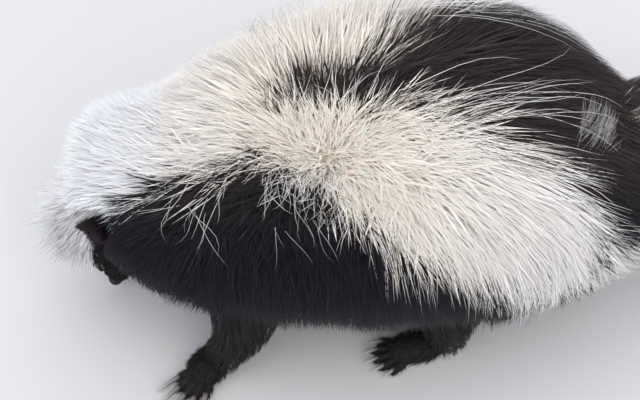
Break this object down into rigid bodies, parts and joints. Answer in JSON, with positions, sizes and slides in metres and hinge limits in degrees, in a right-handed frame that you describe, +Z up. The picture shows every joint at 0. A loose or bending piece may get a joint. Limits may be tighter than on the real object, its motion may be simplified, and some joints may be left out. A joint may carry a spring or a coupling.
{
  "type": "striped skunk",
  "caption": "Still, life-size striped skunk that stands with its head down, with a long black and white coat, clawed feet and a bushy tail held out behind.",
  "frame": {"origin": "middle of the model's box at the level of its soles", "axes": "+Z up, -X the way the animal faces, -Y its left side"},
  "size_m": [0.5802, 0.2236, 0.2051],
  "materials": {
    "coat": "long fur, black with a white cap, nape and two white stripes along the back",
    "foot": "short black fur over bare soles, with grey horn claws",
    "claw": "grey horn, smooth and slightly translucent at the tips",
    "nose_skin": "damp, finely grained bare skin",
    "eye": "dark, wet and glossy"
  },
  "bodies": {
    "root": {"head": "coat", "nose": "nose_skin", "eye_left": "eye", "eye_right": "eye", "ear_left": "coat", "ear_right": "coat", "neck": "coat", "torso": "coat", "tail_base": "coat", "tail_middle": "coat", "tail_tip": "coat", "foreleg_left": "coat", "foreleg_right": "coat", "hindleg_left": "coat", "hindleg_right": "coat", "forefoot_left": "foot", "forefoot_right": "foot", "hindfoot_left": "foot", "hindfoot_right": "foot"}
  },
  "joints": []
}
